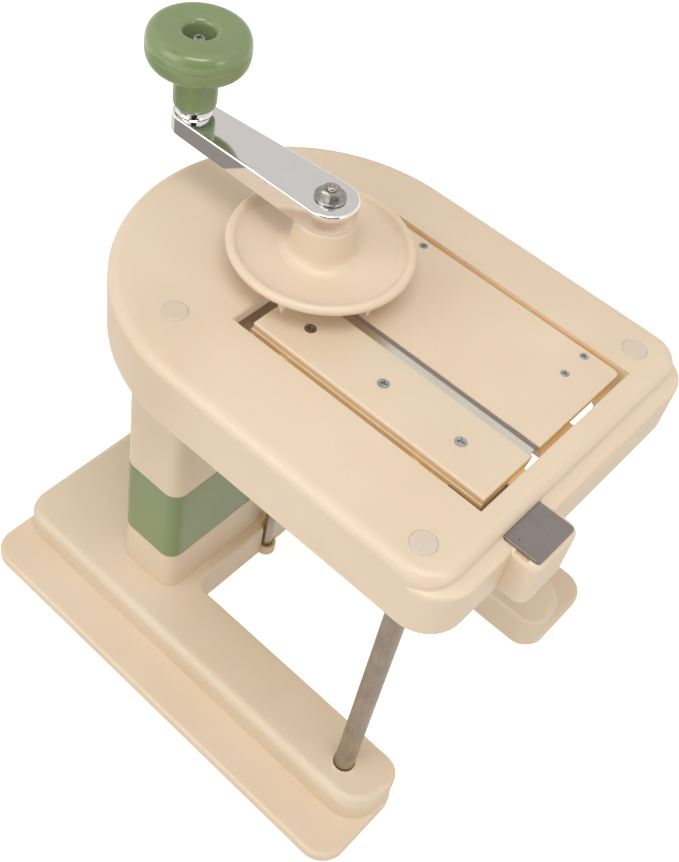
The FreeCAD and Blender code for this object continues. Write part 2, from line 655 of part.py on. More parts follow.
def blade_cover():
    top_at = blade_under(TRAY_R) + BLADE_T + 0.02
    x_meet = BLADE_EDGE_X - (BLADE_EDGE_Z + BLADE_T + 0.02 - SEAM_Z) / math.tan(BLADE_TILT)
    pts = [(TRAY_L, SEAM_Z + 0.02), (x_meet, SEAM_Z + 0.02), (TRAY_R, top_at), (TRAY_R, TABLE_TOP),
           (TRAY_L, TABLE_TOP)]
    shape = section_prism(pts, TRAY_F, TRAY_B)
    edges = []
    for e in edges_at(shape, TABLE_TOP):
        if e.BoundBox.XMax < TRAY_R - 0.1 or e.BoundBox.YMax < TRAY_F + 0.1:
            edges.append(e)
    shape = shape.makeFillet(COVER_ROUND, edges)
    for y in TRAY_SCREW_Y:
        shape = shape.cut(cyl(TRAY_SCREW_X, y, 280.0, 292.0, 2.3))
        shape = shape.cut(cone(TRAY_SCREW_X, y, TABLE_TOP - 2.2, TABLE_TOP + 0.1, 2.0, 3.85))
    return shape


def countersunk(x, y, z_top, head_r, shank_r, length):
    head = cone(x, y, z_top - 1.9, z_top, shank_r, head_r)
    shank = cyl(x, y, z_top - length, z_top - 1.5, shank_r)
    return head.fuse(shank).cut(cross_recess(x, y, z_top, head_r * 1.15, head_r * 0.3, 1.2)).removeSplitter()


def tray_screw(y):
    return countersunk(TRAY_SCREW_X, y, TABLE_TOP - 0.1, 3.6, 1.85, 7.0)


def rib_screw(y):
    head = cyl(-42.0, y, 263.4, 265.9, 3.2)
    return head.fuse(cyl(-42.0, y, 265.5, 283.4, 1.45)).removeSplitter()


# ---- infeed plate --------------------------------------------------------------------------------
def infeed_plate():
    shape = box(INFEED_L, INFEED_R, INFEED_F, INFEED_B, INFEED_TOP - INFEED_T, INFEED_TOP)
    corner = [e for e in vertical_edges(shape) if e.BoundBox.XMin > 0 and e.BoundBox.YMax < -100]
    shape = shape.makeFillet(4.0, corner)
    lips = []
    for e in edges_at(shape, INFEED_TOP):
        if e.BoundBox.XMax > INFEED_L + 0.1:
            lips.append(e)
    shape = shape.makeFillet(0.8, lips)
    # the edge at the blade is relieved underneath so that shreds fall freely
    pts = [(INFEED_L - 1.0, 280.0), (INFEED_L + 6.0, 280.0), (INFEED_L + 3.2, INFEED_TOP - INFEED_T),
           (INFEED_L, INFEED_TOP - 0.9), (INFEED_L - 1.0, INFEED_TOP - 0.9)]
    relief = section_prism(pts, INFEED_F - 1, INFEED_B + 1)
    shape = shape.cut(relief)
    # ramp that rides on the nub of the thickness slide
    z_low = SLIDE_Z1 + NUB_H + 0.46
    y_hi = NUB_Y + 4.0
    y_lo = NUB_Y - SLIDE_TRAVEL - 4.0
    slope = RAMP_DROP / SLIDE_TRAVEL
    pad = box(NUB_X - 5.0, NUB_X + 5.0, y_lo, y_hi, z_low - 0.6, INFEED_TOP - INFEED_T + 0.2)
    shape = shape.fuse(pad)
    pts = [V(NUB_X - 5.5, y_lo - 1.0, 270.0), V(NUB_X - 5.5, y_hi + 1.0, 270.0),
           V(NUB_X - 5.5, y_hi + 1.0, z_low - slope * 5.0 + slope * 3.0),
           V(NUB_X - 5.5, y_lo - 1.0, z_low + slope * (NUB_Y - y_lo + 1.0))]
    cutter = Part.Face(Part.makePolygon(pts + [pts[0]])).extrude(V(11.0, 0, 0))
    shape = shape.cut(cutter)
    shape = shape.cut(cyl(0, SPIN_Y, 280.0, 292.0, 12.0))
    for y in HINGE_Y:
        for x in INFEED_SCREW_X:
            shape = shape.cut(cyl(x, y, 280.0, 292.0, 1.7))
            shape = shape.cut(cone(x, y, INFEED_TOP - 1.9, INFEED_TOP + 0.1, 1.5, 2.95))
    return shape.removeSplitter()


def infeed_screw(x, y):
    return countersunk(x, y, INFEED_TOP - 0.1, 2.75, 1.4, 7.0)


def hinge_block(y):
    z1 = INFEED_TOP - INFEED_T - 0.02
    shape = box(46.0, 76.0, y - 7.8, y + 7.8, 278.5, z1)
    knuckle = Part.makeCylinder(4.6, 15.6, V(HINGE_X, y - 7.8, HINGE_Z), V(0, 1, 0))
    shape = shape.fuse(knuckle)
    shape = shape.cut(Part.makeCylinder(PIN_R + RUN_FIT, 20.0, V(HINGE_X, y - 10.0, HINGE_Z), V(0, 1, 0)))
    # the outer screw stops short of the pin bore
    shape = shape.cut(cyl(INFEED_SCREW_X[0], y, 279.2, 285.0, 1.42))
    shape = shape.cut(cyl(INFEED_SCREW_X[1], y, 279.2, 285.0, 1.42))
    return shape.removeSplitter()


def hinge_pin(y):
    pin = Part.makeCylinder(PIN_R, 23.4, V(HINGE_X, y - 11.7, HINGE_Z), V(0, 1, 0))
    ends = [e for e in pin.Edges if e.BoundBox.YMax - e.BoundBox.YMin < 1e-6]
    return pin.makeChamfer(0.3, ends)


# ---- thickness slide -----------------------------------------------------------------------------
def thickness_slide():
    tab = box(SLIDE_L, SLIDE_R, SLIDE_FRONT, SLIDE_BACK, SLIDE_Z0, SLIDE_Z1)
    corners = [e for e in vertical_edges(tab) if e.BoundBox.YMax < SLIDE_FRONT + 0.1]
    tab = tab.makeFillet(2.6, corners)
    arm = box(SLIDE_R - 1.0, SLIDE_ARM_R, SLIDE_ARM_F, SLIDE_BACK, SLIDE_Z0, SLIDE_Z1)
    shape = tab.fuse(arm).removeSplitter()
    rim = [e for e in edges_at(shape, SLIDE_Z1) if e.BoundBox.YMin < -165.0]
    shape = shape.makeChamfer(0.25, rim)
    # punch mark near the left edge of the tab
    shape = shape.cut(cone(SLIDE_L + 4.6, -194.6, SLIDE_Z1 - 0.6, SLIDE_Z1 + 0.01, 0.2, 0.5))
    return shape.cut(cyl(NUB_X, NUB_Y, 270.0, 290.0, 1.5))


def slide_nub():
    dome = cyl(NUB_X, NUB_Y, SLIDE_Z1, SLIDE_Z1 + NUB_H, 3.0)
    dome = dome.makeFillet(0.5, edges_at(dome, SLIDE_Z1 + NUB_H))
    foot = cyl(NUB_X, NUB_Y, SLIDE_Z0 - 0.5, SLIDE_Z1 + 0.2, 1.48)
    head = cyl(NUB_X, NUB_Y, SLIDE_Z0 - 0.9, SLIDE_Z0, 2.6)
    return fuse_all([dome, foot, head])


# ---- spindle -------------------------------------------------------------------------------------
def spindle():
    pts = [(0.0, 3.3), (2.6, 3.3), (SPINDLE_R, 4.7), (SPINDLE_R, ARM_TOP + 0.28), (3.0, ARM_TOP + 0.28),
           (3.0, ARM_TOP + 7.3), (2.2, ARM_TOP + 8.1), (0.9, ARM_TOP + 8.1), (0.0, ARM_TOP + 7.1)]
    return turned(pts)


def spindle_collar():
    pts = [(SPINDLE_R + 0.01, 302.2), (8.0, 302.2), (8.6, 302.8), (8.6, 305.2), (8.2, 305.6),
           (SPINDLE_R + 0.01, 305.6)]
    return turned(pts)


def washer():
    z = ARM_TOP + 0.3
    w = cyl(0, 0, z, z + 1.2, 9.2)
    w = w.makeFillet(0.3, edges_at(w, z + 1.2))
    return w.cut(cyl(0, 0, z - 1, z + 2, 3.02))


def hex_nut():
    z = ARM_TOP + 1.52
    nut = hexagon(0, 0, z, z + 4.7, NUT_AF, 34.0)
    crown = cone(0, 0, z - 0.001, z + 4.7, 9.0, 4.9)
    nut = nut.common(crown.fuse(cyl(0, 0, z - 0.001, z + 3.8, 6.2)))
    return nut.cut(cyl(0, 0, z - 1, z + 6, 3.02)).removeSplitter()


# ---- holding disc --------------------------------------------------------------------------------
def disc_body():
    z = DISC_RIM_Z
    bore = SPINDLE_R + RUN_FIT
    pts = [(bore, 306.0), (46.0, 306.0), (52.2, z - 4.2)]
    for i in range(0, 19):
        a = math.radians(-78.0 + i * (78.0 + 128.0) / 18.0)
        pts.append((52.2 + BEAD_R * math.cos(a), z + BEAD_R * math.sin(a)))
    # shallow dish, then a concave sweep up to the hub boss
    pts += [(49.2, z + 0.6), (47.6, z - 1.1), (44.5, z - 1.9), (34.0, z - 2.5)]
    for i in range(0, 9):
        a = math.radians(270.0 - i * 80.0 / 8.0)
        pts.append((26.6 + 7.6 * math.cos(a), z + 4.9 + 7.6 * math.sin(a)))
    pts += [(17.2, ARM_Z0 - 0.6), (16.6, ARM_Z0), (bore, ARM_Z0)]
    return turned(pts)


def prong(radius, angle, length, width):
    # a thin triangular tooth that stands below the disc
    top = 307.0
    tip = top - length
    pts = [V(radius - 1.1, -width / 2, top), V(radius - 1.1, width / 2, top), V(radius - 1.1, 0.35, tip),
           V(radius - 1.1, -0.35, tip)]
    tooth = Part.Face(Part.makePolygon(pts + [pts[0]])).extrude(V(2.2, 0, 0))
    tooth.rotate(V(0, 0, 0), UP, angle)
    return tooth


def holding_disc():
    shape = disc_body()
    for i in range(6):
        shape = shape.fuse(prong(PRONG_R, 16.5 + 60.0 * i, 307.0 - PRONG_TIP_Z, 8.2))
    for i in range(3):
        shape = shape.fuse(prong(26.0, 46.5 + 120.0 * i, 307.0 - PRONG_TIP_Z, 7.4))
    # square drive that stands up into the arm
    drive = round_box(-7.0, 7.0, -7.0, 7.0, ARM_Z0 - 1.0, ARM_Z0 + 6.0, 1.2)
    drive.rotate(V(0, 0, 0), UP, math.degrees(CRANK_ANGLE))
    shape = shape.fuse(drive.cut(cyl(0, 0, ARM_Z0 - 2.0, ARM_Z0 + 7.0, SPINDLE_R + RUN_FIT)))
    return shape.removeSplitter()


# ---- crank arm -----------------------------------------------------------------------------------
def arm_plan(g, z0, z1):
    # two round ends joined by their common tangents
    r1 = ARM_HUB_R - g
    r2 = ARM_END_R - g
    b = math.asin((r1 - r2) / CRANK_R)
    c, s = math.cos(b), math.sin(b)
    p1 = V(r1 * s, r1 * c, z0)
    p2 = V(CRANK_R + r2 * s, r2 * c, z0)
    p3 = V(CRANK_R + r2 * s, -r2 * c, z0)
    p4 = V(r1 * s, -r1 * c, z0)
    edges = [
        Part.makeLine(p1, p2),
        Part.Arc(p2, V(CRANK_R + r2, 0, z0), p3).toShape(),
        Part.makeLine(p3, p4),
        Part.Arc(p4, V(-r1, 0, z0), p1).toShape(),
    ]
    shape = Part.Face(Part.Wire(edges)).extrude(V(0, 0, z1 - z0))
    shape.rotate(V(0, 0, 0), UP, math.degrees(CRANK_ANGLE))
    return shape


def crank_arm():
    shape = arm_plan(0.0, ARM_Z0, ARM_TOP)
    shape = shape.makeFillet(ARM_ROUND, edges_at(shape, ARM_TOP))
    # the underside is level below the hub, then rises towards the knob
    far = CRANK_R + 20.0
    near = ARM_HUB_R + 3.0
    rise = ARM_RISE * (far - near) / (CRANK_R - near)
    pts = [V(near, -30, ARM_Z0), V(far, -30, ARM_Z0 + rise), V(far, -30, ARM_Z0 - 1.0),
           V(near, -30, ARM_Z0 - 1.0)]
    wedge = Part.Face(Part.makePolygon(pts + [pts[0]])).extrude(V(0, 60, 0))
    wedge.rotate(V(0, 0, 0), UP, math.degrees(CRANK_ANGLE))
    shape = one(shape.cut(wedge))
    below = [e for e in shape.Edges if e.BoundBox.ZMax < ARM_Z0 + ARM_RISE + 0.5
             and (e.BoundBox.XMax - e.BoundBox.XMin > 32.0 or e.BoundBox.YMax - e.BoundBox.YMin > 3.0)
             and e.Length > 20.0 and not (e.Length < 36.0 and abs(e.BoundBox.ZMax - ARM_Z0) < 0.01
             and e.BoundBox.YMax - e.BoundBox.YMin < 5.0)]
    shape = one(shape.makeFillet(0.6, below))
    boss = cyl(KNOB_X, KNOB_Y, ARM_TOP - 1.0, ARM_TOP + BOSS_H, BOSS_R)
    boss = boss.makeFillet(0.5, edges_at(boss, ARM_TOP + BOSS_H))
    shape = one(shape.fuse(boss))
    foot = [e for e in edges_at(shape, ARM_TOP) if abs(e.BoundBox.XMax - e.BoundBox.XMin - 2 * BOSS_R) < 0.1]
    shape = one(shape.makeFillet(BOSS_FLARE, foot))
    shape = shape.cut(cyl(0, 0, ARM_Z0 - 1, ARM_TOP + 1, SPINDLE_R + RUN_FIT))
    socket = round_box(-7.05, 7.05, -7.05, 7.05, ARM_Z0 - 1.0, ARM_Z0 + 6.2, 1.2)
    socket.rotate(V(0, 0, 0), UP, math.degrees(CRANK_ANGLE))
    shape = shape.cut(socket)
    shape = shape.cut(cyl(KNOB_X, KNOB_Y, ARM_Z0 + 2.0, ARM_TOP + 10.0, 2.52))
    # lightening hollow under the middle of the arm
    hollow = round_box(20.0, 84.0, -7.0, 7.0, ARM_Z0 - 1.0, ARM_Z0 + 9.0, 4.0)
    hollow.rotate(V(0, 0, 0), UP, math.degrees(CRANK_ANGLE))
    return shape.cut(hollow).removeSplitter()


# ---- knob ----------------------------------------------------------------------------------------
def knob():
    bore = 3.05
    # neck
    pts = [(bore, KNOB_Z0), (NECK_R - 1.5, KNOB_Z0), (NECK_R - 0.8, KNOB_Z0 + 0.4),
           (NECK_R - 0.35, KNOB_Z0 + 1.1),
           (NECK_R - 0.1, KNOB_Z0 + 2.2), (NECK_R, KNOB_MID - 16.0)]
    for i in range(6):
        a = math.radians(180.0 - 15.0 * i)
        pts.append((NECK_R + 2.8 + 2.8 * math.cos(a), KNOB_MID - KNOB_LOW - 2.8 + 2.8 * math.sin(a)))
    # round the outside as a squared oval, from the underside to the top
    n = 40
    for i in range(n + 1):
        a = math.radians(-90.0 + 180.0 * i / n)
        c = abs(math.cos(a)) ** (2.0 / KNOB_SQUARE)
        s = abs(math.sin(a)) ** (2.0 / KNOB_SQUARE)
        high = KNOB_HIGH if a >= 0 else -KNOB_LOW
        pts.append((KNOB_RING + (KNOB_R - KNOB_RING) * c, KNOB_MID + high * s))
    # the top dips a little, then rolls over into the recess
    top = KNOB_MID + KNOB_HIGH
    pts += [(18.0, top - 0.03), (15.0, top - 0.15)]
    for i in range(13):
        a = math.radians(84.0 + 96.0 * i / 12.0)
        r = RECESS_R + RECESS_ROUND + RECESS_ROUND * math.cos(a)
        pts.append((r, top - 0.2 + RECESS_ROUND * (math.sin(a) - 1.0)))
    # a moat runs round the post that the screw's head sits on
    low = KNOB_SEAT - MOAT
    pts += [(RECESS_R - 0.3, low + 1.6), (RECESS_R - 0.8, low + 0.4), (RECESS_R - 1.5, low)]
    pts += [(5.3, low), (4.7, low + 0.6), (4.5, KNOB_SEAT), (bore, KNOB_SEAT)]
    shape = turned(pts, KNOB_X, KNOB_Y)
    # the seam where the two halves of the knob meet
    seam = turned([(KNOB_R - 0.25, KNOB_MID - 0.2), (KNOB_R + 1, KNOB_MID - 0.2),
                   (KNOB_R + 1, KNOB_MID + 0.2), (KNOB_R - 0.25, KNOB_MID + 0.2)], KNOB_X, KNOB_Y)
    return shape.cut(seam)


def knob_screw():
    z = KNOB_SEAT + 0.3
    shank = cyl(KNOB_X, KNOB_Y, ARM_TOP + BOSS_H, z + 0.5, 3.0)
    thread = cyl(KNOB_X, KNOB_Y, ARM_Z0 + 2.5, ARM_TOP + BOSS_H + 1.0, 2.5)
    head = cyl(KNOB_X, KNOB_Y, z, z + 2.8, 3.9)
    head = head.makeFillet(1.0, edges_at(head, z + 2.8))
    shape = fuse_all([shank, thread, head])
    return shape.cut(cross_recess(KNOB_X, KNOB_Y, z + 2.8, 4.2, 1.0, 1.5)).removeSplitter()


def on_axis(shape):
    # parts drawn about zero are carried to the spindle axis
    shape.translate(V(0, SPIN_Y, 0))
    return shape


# ---- write every part ----------------------------------------------------------------------------
def main():
    os.makedirs("parts", exist_ok=True)
    save("base_frame", base_frame())
    for name, (x, y) in zip(("foot_pad_fl", "foot_pad_fr", "foot_pad_bl", "foot_pad_br"), PAD_POS):
        save(name, foot_pad(x, y))
    save("column_band", column_band())
    save("column_upper", column_upper())
    for name, s in (("left", -1), ("right", 1)):
        save("column_bolt_" + name, column_bolt(s))
        save("column_nut_" + name, column_nut(s))
        save("support_rod_" + name, support_rod(s))
        save("rod_screw_" + name, rod_screw(s))
        save("plug_front_" + name, plug(PLUG_FRONT_X[(s + 1) // 2], PLUG_FRONT_Y))
    save("plug_back_left", plug(-BOLT_X, BOLT_Y))
    save("table_shell", table_shell())
    save("spindle_bush", on_axis(spindle_bush()))
    save("tray_lower", tray_lower())
    save("blade", blade())
    save("blade_cover", blade_cover())
    for i, y in enumerate(TRAY_SCREW_Y):
        save("tray_screw_" + str(i + 1), tray_screw(y))
    save("rib_screw_back", rib_screw(-30.0))
    save("rib_screw_front", rib_screw(-126.0))
    save("infeed_plate", infeed_plate())
    for name, y in zip(("back", "front"), HINGE_Y):
        save("hinge_block_" + name, hinge_block(y))
        save("hinge_pin_" + name, hinge_pin(y))
        save("infeed_screw_in_" + name, infeed_screw(INFEED_SCREW_X[0], y))
        save("infeed_screw_out_" + name, infeed_screw(INFEED_SCREW_X[1], y))
    save("thickness_slide", thickness_slide())
    save("slide_nub", slide_nub())
    save("spindle", on_axis(spindle()))
    save("spindle_collar", on_axis(spindle_collar()))
    save("washer", on_axis(washer()))
    save("hex_nut", on_axis(hex_nut()))
    save("holding_disc", on_axis(holding_disc()))
    save("crank_arm", on_axis(crank_arm()))
    save("knob", on_axis(knob()))
    save("knob_screw", on_axis(knob_screw()))


main()
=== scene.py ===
"""Hand crank vegetable slicer: the looks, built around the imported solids.

Most pieces are the solids themselves with a procedural finish. The knob, the holding disc and the spindle
are worked out here as smooth turned surfaces, because their real surfaces are curved all over or carry a
fine thread.
"""

import json
import math

import bpy
import numpy as np
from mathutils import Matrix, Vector


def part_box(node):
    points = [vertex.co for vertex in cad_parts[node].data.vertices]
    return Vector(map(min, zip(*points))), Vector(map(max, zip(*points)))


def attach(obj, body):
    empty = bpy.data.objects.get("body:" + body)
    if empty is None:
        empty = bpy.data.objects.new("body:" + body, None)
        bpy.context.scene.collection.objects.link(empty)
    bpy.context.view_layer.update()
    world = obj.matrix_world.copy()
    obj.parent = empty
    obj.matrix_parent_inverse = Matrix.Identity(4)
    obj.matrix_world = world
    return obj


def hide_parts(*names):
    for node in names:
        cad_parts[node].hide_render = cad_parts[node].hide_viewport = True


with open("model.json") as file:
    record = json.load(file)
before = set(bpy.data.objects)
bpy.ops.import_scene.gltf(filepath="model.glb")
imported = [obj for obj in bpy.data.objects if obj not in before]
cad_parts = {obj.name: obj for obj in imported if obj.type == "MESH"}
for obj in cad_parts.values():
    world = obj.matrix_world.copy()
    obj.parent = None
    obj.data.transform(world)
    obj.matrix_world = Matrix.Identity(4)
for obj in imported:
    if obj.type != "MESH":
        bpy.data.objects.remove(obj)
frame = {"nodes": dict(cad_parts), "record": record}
bpy.context.view_layer.update()

MM = 0.001
# width of the ground bevel, measured back from the knife's edge
BLADE_BEVEL = 3.8 * MM
# steps that each turned surface takes round its axis
KNOB_COLUMNS, DISC_COLUMNS, SPINDLE_COLUMNS = 160, 180, 56


# ---- colour and nodes --------------------------------------------------------------------------------
def colour(hex_value):
    """sRGB hex to linear RGBA: each channel over 255, then ((c + 0.055) / 1.055) to the power 2.4."""
    c = np.array([int(hex_value[i : i + 2], 16) for i in (1, 3, 5)]) / 255.0
    lin = np.where(c <= 0.04045, c / 12.92, ((c + 0.055) / 1.055) ** 2.4)
    return (*lin.tolist(), 1.0)


def add(tree, kind, inputs=None, **settings):
    """Adds one node: settings are its properties, inputs are values or sockets to link from."""
    n = tree.nodes.new(kind)
    for key, value in settings.items():
        setattr(n, key, value)
    for key, value in (inputs or {}).items():
        if isinstance(value, bpy.types.NodeSocket):
            tree.links.new(value, n.inputs[key])
        else:
            n.inputs[key].default_value = value
    return n


def new_material(name):
    """An empty material and its node tree."""
    mat = bpy.data.materials.new(name)
    mat.use_nodes = True
    mat.node_tree.nodes.clear()
    return mat, mat.node_tree


def per_mm(size):
    """Noise scale whose cells are about size millimetres across, for coordinates in metres."""
    return 1.0 / (size * MM)


# ---- materials ---------------------------------------------------------------------------------------
def moulded_abs(name, light, dark, rough, bleed, reach, peel_depth, painted_gap_colour=None):
    """Acrylonitrile butadiene styrene, injection moulded in a lightly polished tool.

    It gives the eye an even colour with soft wide highlights, a faint cloudiness where the melt flowed, a
    very fine skin grain, slow waves of orange peel peel_depth millimetres deep, and light bleeding warmly
    through it: bleed is its share, and reach is how far red, green and blue light travel inside, in
    millimetres. Where a colour for the gaps is given, gaps narrower than about 13 mm are painted toward it as
    painted warm shade, and a faint painted glow of that colour is added there.
    """
    mat, t = new_material(name)
    place = add(t, "ShaderNodeTexCoord").outputs["Object"]
    # flow clouds about 70 mm across, a few grey levels deep
    cloud = add(t, "ShaderNodeTexNoise", {
        "Vector": place, "Scale": per_mm(70.0), "Detail": 2.0, "Roughness": 0.4})
    tint = add(t, "ShaderNodeMapRange", {
        "Value": cloud.outputs["Fac"], "From Min": 0.35, "From Max": 0.65})
    base = add(t, "ShaderNodeMix", {
        "Factor": tint.outputs["Result"], "A": colour(dark), "B": colour(light)}, data_type="RGBA")
    painted_glow = {}
    if painted_gap_colour:
        # painted shade and painted glow: 1 in a gap narrower than 13 mm, fading to 0 in the open
        gap = add(t, "ShaderNodeAmbientOcclusion", {"Distance": 13.0 * MM}, samples=6)
        deep = add(t, "ShaderNodeMapRange", {
            "Value": gap.outputs["AO"], "From Min": 0.06, "From Max": 0.5, "To Min": 1.0, "To Max": 0.0},
            interpolation_type="SMOOTHSTEP")
        base = add(t, "ShaderNodeMix", {
            "Factor": deep.outputs["Result"], "A": base.outputs["Result"], "B": colour(painted_gap_colour)},
            data_type="RGBA")
        # a faint painted glow: emission in the deep warm colour, strongest deep in the gaps
        painted_glow_strength = add(t, "ShaderNodeMath", {0: deep.outputs["Result"], 1: 0.13}, operation="MULTIPLY")
        painted_glow = {"Emission Color": colour(painted_gap_colour), "Emission Strength": painted_glow_strength.outputs["Value"]}
    # handling marks: small duller patches, 9 mm across
    marks = add(t, "ShaderNodeTexNoise", {
        "Vector": place, "Scale": per_mm(9.0), "Detail": 5.0, "Roughness": 0.62})
    gloss = add(t, "ShaderNodeMapRange", {
        "Value": marks.outputs["Fac"], "From Min": 0.3, "From Max": 0.75,
        "To Min": rough - 0.03, "To Max": rough + 0.05})
    # the tool's grain is about 0.1 mm; it is drawn at 0.5 mm so that it shows at all
    skin = add(t, "ShaderNodeTexNoise", {
        "Vector": place, "Scale": per_mm(0.5), "Detail": 3.0, "Roughness": 0.6})
    fine = add(t, "ShaderNodeBump", {
        "Strength": 0.35, "Distance": 0.008 * MM, "Height": skin.outputs["Fac"]})
    # orange peel, waves about 16 mm apart
    peel = add(t, "ShaderNodeTexNoise", {
        "Vector": place, "Scale": per_mm(16.0), "Detail": 1.0, "Roughness": 0.4})
    wave = add(t, "ShaderNodeBump", {
        "Strength": 0.4, "Distance": peel_depth * MM, "Height": peel.outputs["Fac"],
        "Normal": fine.outputs["Normal"]})
    shader = add(t, "ShaderNodeBsdfPrincipled", {
        "Base Color": base.outputs["Result"], "Roughness": gloss.outputs["Result"], "IOR": 1.54,
        "Subsurface Weight": bleed, "Subsurface Radius": reach, "Subsurface Scale": MM,
        "Normal": wave.outputs["Normal"], **painted_glow})
    add(t, "ShaderNodeOutputMaterial", {"Surface": shader.outputs["BSDF"]})
    return mat


def lined_metal(name, light, dark, rough, along, pitch, depth, spread=0.08, bevel=None):
    """A metal whose surface carries fine straight lines from grinding, drawing or rolling.

    along is the axis that the lines run along; pitch is their spacing and depth their depth, in millimetres.
    The eye gets highlights that are smeared across the lines, and small lighter and darker streaks. A knife
    also has a bevel, ground coarser and so rougher, with its colour painted darker as a painted reflection of
    darker surroundings, wherever X is above the value of bevel in metres.
    """
    mat, t = new_material(name)
    place = add(t, "ShaderNodeTexCoord").outputs["Object"]
    # the pattern is squeezed to a fortieth along the lines
    squeeze = [0.025 if k == along else 1.0 for k in "XYZ"]
    run = add(t, "ShaderNodeMapping", {"Vector": place, "Scale": squeeze})
    lines = add(t, "ShaderNodeTexNoise", {
        "Vector": run.outputs["Vector"], "Scale": per_mm(pitch), "Detail": 4.0, "Roughness": 0.65})
    # slow stain and handling marks, 22 mm across
    stain = add(t, "ShaderNodeTexNoise", {
        "Vector": place, "Scale": per_mm(22.0), "Detail": 4.0, "Roughness": 0.6})
    both = add(t, "ShaderNodeMath", {0: lines.outputs["Fac"], 1: stain.outputs["Fac"]}, operation="ADD")
    share = add(t, "ShaderNodeMapRange", {"Value": both.outputs["Value"], "From Min": 0.7, "From Max": 1.3})
    base = add(t, "ShaderNodeMix", {
        "Factor": share.outputs["Result"], "A": colour(dark), "B": colour(light)}, data_type="RGBA")
    gloss = add(t, "ShaderNodeMapRange", {
        "Value": both.outputs["Value"], "From Min": 0.7, "From Max": 1.3,
        "To Min": rough + spread, "To Max": rough - spread / 2})
    if bevel is not None:
        # 1 on the flat, 0 on the bevel, over a line 0.2 mm wide
        across = add(t, "ShaderNodeSeparateXYZ", {"Vector": place})
        flat = add(t, "ShaderNodeMapRange", {
            "Value": across.outputs["X"], "From Min": bevel + 0.1 * MM, "From Max": bevel - 0.1 * MM})
        # the bevel's darker colour is a painted reflection of darker surroundings; its rougher grind is real
        base = add(t, "ShaderNodeMix", {
            "Factor": flat.outputs["Result"], "A": colour("#8C8178"), "B": base.outputs["Result"]},
            data_type="RGBA")
        gloss = add(t, "ShaderNodeMapRange", {
            "Value": flat.outputs["Result"], "To Min": rough + 0.16, "To Max": gloss.outputs["Result"]})
    cut = add(t, "ShaderNodeBump", {
        "Strength": 0.6, "Distance": depth * MM, "Height": lines.outputs["Fac"]})
    shader = add(t, "ShaderNodeBsdfPrincipled", {
        "Base Color": base.outputs["Result"], "Metallic": 1.0, "Roughness": gloss.outputs["Result"],
        "Normal": cut.outputs["Normal"]})
    add(t, "ShaderNodeOutputMaterial", {"Surface": shader.outputs["BSDF"]})
    return mat


def chrome_plate():
    """Bright chromium over a polished zinc casting: a grey mirror, slightly wavy, with hairline marks."""
    mat, t = new_material("chrome_plate_polished")
    place = add(t, "ShaderNodeTexCoord").outputs["Object"]
    # the buffed casting under the plate waves a little every 18 mm
    swell = add(t, "ShaderNodeTexNoise", {
        "Vector": place, "Scale": per_mm(18.0), "Detail": 1.0, "Roughness": 0.3})
    low = add(t, "ShaderNodeBump", {
        "Strength": 0.35, "Distance": 0.05 * MM, "Height": swell.outputs["Fac"]})
    # hairlines of the buffing wheel run along the arm, 0.4 mm apart
    run = add(t, "ShaderNodeMapping", {"Vector": place, "Scale": (1.0, 0.03, 1.0)})
    hair = add(t, "ShaderNodeTexNoise", {
        "Vector": run.outputs["Vector"], "Scale": per_mm(0.4), "Detail": 3.0})
    fine = add(t, "ShaderNodeBump", {
        "Strength": 0.25, "Distance": 0.002 * MM, "Height": hair.outputs["Fac"],
        "Normal": low.outputs["Normal"]})
    # finger smears, 11 mm across, dull the mirror a little
    smear = add(t, "ShaderNodeTexNoise", {
        "Vector": place, "Scale": per_mm(11.0), "Detail": 4.0, "Roughness": 0.65})
    gloss = add(t, "ShaderNodeMapRange", {
        "Value": smear.outputs["Fac"], "From Min": 0.4, "From Max": 0.75, "To Min": 0.035, "To Max": 0.09})
    tone = add(t, "ShaderNodeMix", {
        "Factor": smear.outputs["Fac"], "A": colour("#E8E6E5"), "B": colour("#EFEDEC")}, data_type="RGBA")
    shader = add(t, "ShaderNodeBsdfPrincipled", {
        "Base Color": tone.outputs["Result"], "Metallic": 1.0, "Roughness": gloss.outputs["Result"],
        "Normal": fine.outputs["Normal"]})
    add(t, "ShaderNodeOutputMaterial", {"Surface": shader.outputs["BSDF"]})
    return mat


def bright_zinc():
    """Steel fasteners, zinc plated and passivated: grey with a faint warm bloom, softly bright."""
    mat, t = new_material("steel_zinc_plated")
    place = add(t, "ShaderNodeTexCoord").outputs["Object"]
    # the bloom of the passivation, 2.5 mm across, from darker to lighter grey
    bloom = add(t, "ShaderNodeTexNoise", {
        "Vector": place, "Scale": per_mm(2.5), "Detail": 3.0, "Roughness": 0.6})
    tone = add(t, "ShaderNodeValToRGB", {"Fac": bloom.outputs["Fac"]})
    ramp = tone.color_ramp
    ramp.elements[0].position, ramp.elements[0].color = 0.3, colour("#98938D")
    ramp.elements[1].position, ramp.elements[1].color = 0.7, colour("#BDBAB7")
    ramp.elements.new(0.5).color = colour("#ABA7A3")
    # the crystalline plating, about 0.15 mm, drawn at 0.3 mm so that it shows
    grit = add(t, "ShaderNodeTexNoise", {
        "Vector": place, "Scale": per_mm(0.3), "Detail": 3.0, "Roughness": 0.7})
    gloss = add(t, "ShaderNodeMapRange", {"Value": grit.outputs["Fac"], "To Min": 0.1, "To Max": 0.19})
    bump = add(t, "ShaderNodeBump", {
        "Strength": 0.3, "Distance": 0.002 * MM, "Height": grit.outputs["Fac"]})
    shader = add(t, "ShaderNodeBsdfPrincipled", {
        "Base Color": tone.outputs["Color"], "Metallic": 1.0, "Roughness": gloss.outputs["Result"],
        "Normal": bump.outputs["Normal"]})
    add(t, "ShaderNodeOutputMaterial", {"Surface": shader.outputs["BSDF"]})
    return mat


